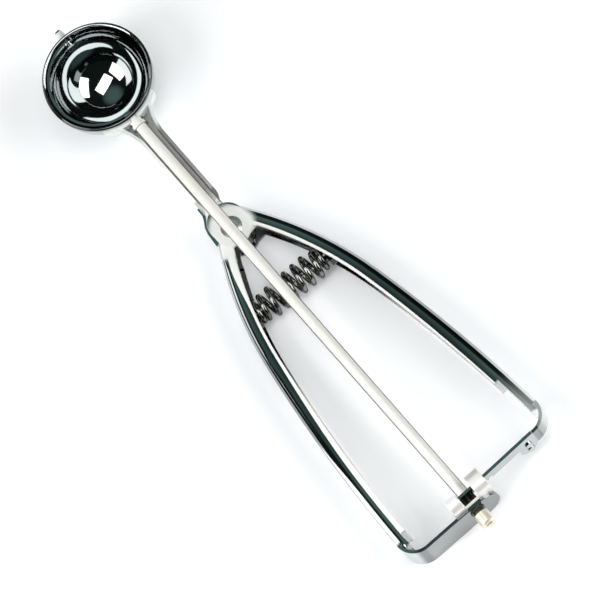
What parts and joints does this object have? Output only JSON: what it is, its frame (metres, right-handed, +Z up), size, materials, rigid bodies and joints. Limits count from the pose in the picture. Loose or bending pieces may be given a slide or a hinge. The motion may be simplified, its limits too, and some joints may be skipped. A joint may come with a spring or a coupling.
{
  "type": "lever ice cream scoop",
  "caption": "Squeeze-handle ice cream scoop with a hemispherical bowl, a sweeping scraper blade and a rack and pinion driven by sprung channel handles.",
  "frame": {"origin": "centre of the bounding box's footprint, on the plane that the scoop lies on", "axes": "+X along the scoop from the bowl to the handle ends, +Y towards the moving handle, +Z up out of the bowl's mouth"},
  "size_m": [0.2149, 0.0616, 0.0219],
  "materials": {
    "bright_steel": "polished plated steel sheet",
    "satin_steel": "satin warm white steel",
    "spring_steel": "dark drawn wire",
    "brass": "worn pale brass"
  },
  "bodies": {
    "scoop_body": {"bowl": "bright_steel", "neck": "bright_steel", "far_boss": "bright_steel", "far_pin": "bright_steel", "left_handle": "bright_steel", "rack_guide": "bright_steel", "pivot_rivet": "satin_steel", "pivot_spacer": "satin_steel", "left_spring_seat": "satin_steel", "spring": "spring_steel"},
    "squeeze_handle": {"right_handle": "bright_steel", "rack": "bright_steel", "rack_rivets": "satin_steel", "right_spring_seat": "satin_steel"},
    "ejector": {"shaft": "satin_steel", "blade": "bright_steel", "pinion": "brass"}
  },
  "joints": [
    {"name": "handle_squeeze", "type": "hinge", "parent": "scoop_body", "child": "squeeze_handle", "pos_m": [-0.02252, -0.00428, 0.0055], "axis": [0, 0, 1], "range_deg": [-2.9, 0], "stiffness_Nm_per_rad": 8, "springref_deg": 2.86, "deforming": ["spring"]},
    {"name": "blade_sweep", "type": "hinge", "parent": "scoop_body", "child": "ejector", "pos_m": [-0.08652, -0.00488, 0.01735], "axis": [0.9987, 0, -0.0511], "range_deg": [0, 174]}
  ],
  "couplings": [
    {"joint": "blade_sweep", "follows": "handle_squeeze", "ratio": -59.725}
  ]
}
